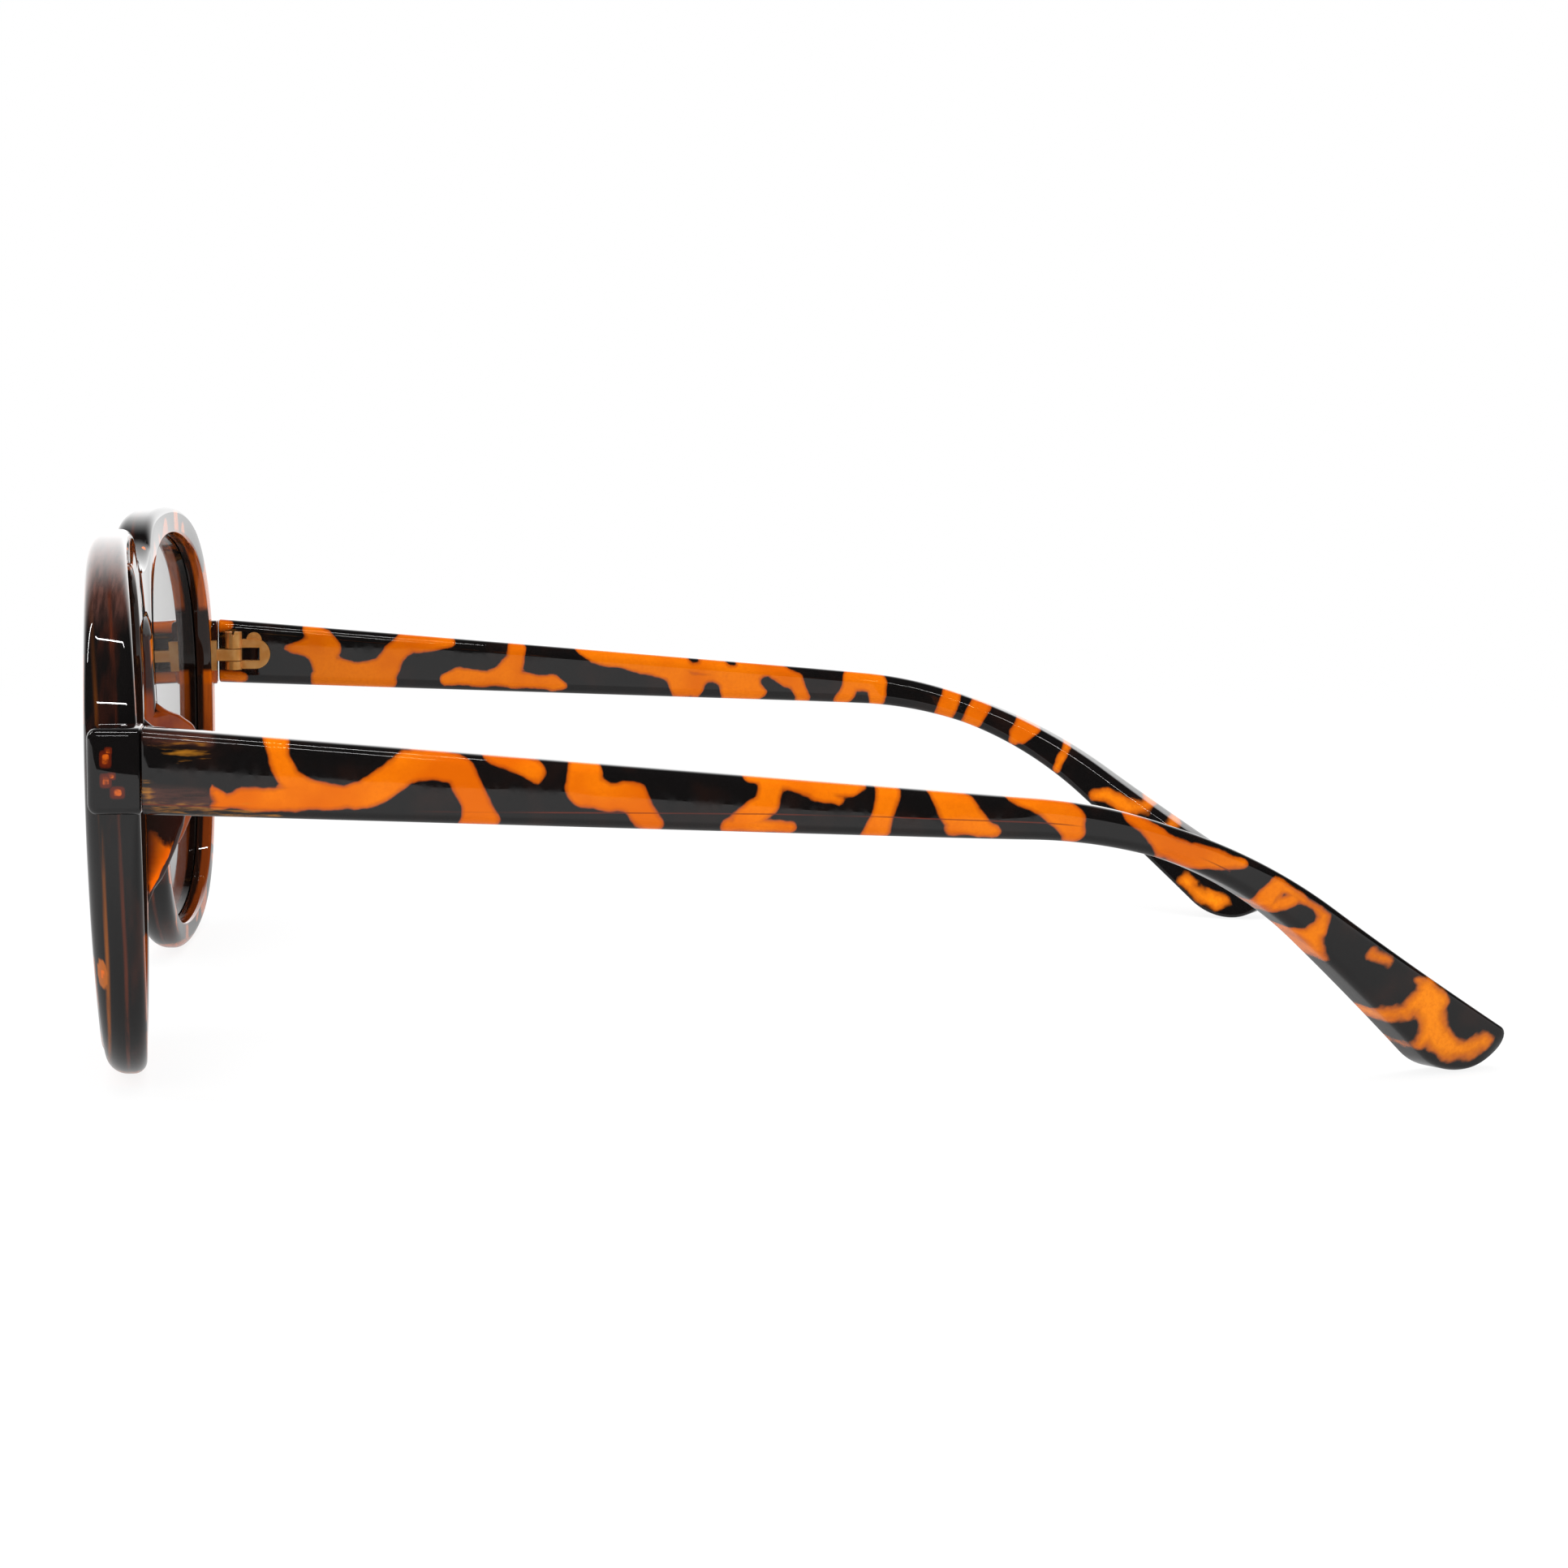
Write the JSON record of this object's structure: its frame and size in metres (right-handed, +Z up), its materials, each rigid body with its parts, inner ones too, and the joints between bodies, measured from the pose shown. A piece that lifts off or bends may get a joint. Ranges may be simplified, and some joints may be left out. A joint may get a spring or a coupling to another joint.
{
  "type": "sunglasses",
  "caption": "Flat-brow sunglasses with a moulded tortoiseshell front, grey lenses, moulded nose pads and temples that fold on small brass screw hinges.",
  "frame": {"origin": "on the table that the glasses stand on, midway across and midway between the front of the brow and the backs of the temple tips", "axes": "+X towards the wearer's left, +Y back along the temples, +Z up"},
  "size_m": [0.142, 0.1412, 0.0522],
  "materials": {
    "shell": "polished orange-brown tortoiseshell with near-black blotches",
    "lens": "smooth smoke-grey tint",
    "hinge": "satin"
  },
  "bodies": {
    "front": {"front_frame": "shell", "left_lens": "lens", "right_lens": "lens", "left_front_hinge": "hinge", "right_front_hinge": "hinge"},
    "left_arm": {"left_temple": "shell", "left_temple_hinge": "hinge", "left_hinge_screw": "hinge"},
    "right_arm": {"right_temple": "shell", "right_temple_hinge": "hinge", "right_hinge_screw": "hinge"}
  },
  "joints": [
    {"name": "left_temple_fold", "type": "hinge", "parent": "front", "child": "left_arm", "pos_m": [0.06565, -0.0598, 0.03221], "axis": [0, 0, 1], "range_deg": [0, 84]},
    {"name": "right_temple_fold", "type": "hinge", "parent": "front", "child": "right_arm", "pos_m": [-0.06565, -0.0598, 0.03221], "axis": [0, 0, -1], "range_deg": [0, 74]}
  ]
}
